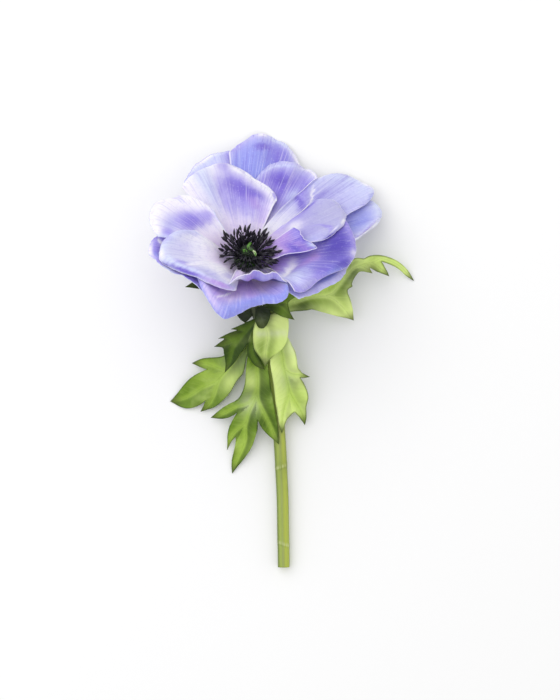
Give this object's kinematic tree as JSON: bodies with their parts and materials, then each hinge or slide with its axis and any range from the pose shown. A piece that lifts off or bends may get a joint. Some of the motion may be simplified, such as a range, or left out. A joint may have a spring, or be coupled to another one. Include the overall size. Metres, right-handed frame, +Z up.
{
  "type": "anemone flower",
  "caption": "Cut poppy anemone lying on its back: a cup of blue-violet petals round dark stamens, a ruff of lobed green leaves, and a bare stem.",
  "frame": {"origin": "middle of the bounding box's underside, on the surface that the flower lies on", "axes": "+Y along the stem towards the flower, +X to the flower's right as seen from above, +Z up from the surface"},
  "size_m": [0.1063, 0.1753, 0.0625],
  "materials": {
    "petal_blue": "matte",
    "petal_violet": "matte",
    "petal_pale": "matte",
    "stamen": "matte",
    "pistil": "satin",
    "receptacle": "matte",
    "leaf": "matte",
    "leaf_dark": "satin",
    "stem": "satin"
  },
  "bodies": {
    "root": {"leaf_centre": "leaf", "leaf_front_lobe": "leaf_dark", "leaf_front_small": "leaf_dark", "leaf_left": "leaf", "leaf_left_small": "leaf_dark", "leaf_left_upper": "leaf_dark", "leaf_lower_left": "leaf", "leaf_lower_right": "leaf", "leaf_right": "leaf", "leaf_sliver": "leaf_dark", "petal_far_right": "petal_blue", "petal_front": "petal_blue", "petal_front_inner": "petal_pale", "petal_inner_right": "petal_pale", "petal_inner_right_low": "petal_pale", "petal_left": "petal_pale", "petal_left_low": "petal_violet", "petal_left_upper": "petal_pale", "petal_lower_right": "petal_violet", "petal_lower_right_back": "petal_violet", "petal_right": "petal_pale", "petal_top": "petal_blue", "petal_top_left_back": "petal_blue", "petal_upper_left": "petal_blue", "petal_upper_right": "petal_violet", "pistil": "pistil", "receptacle": "receptacle", "stamens_inner": "stamen", "stamens_middle": "stamen", "stamens_outer": "stamen", "stem": "stem"}
  },
  "joints": []
}
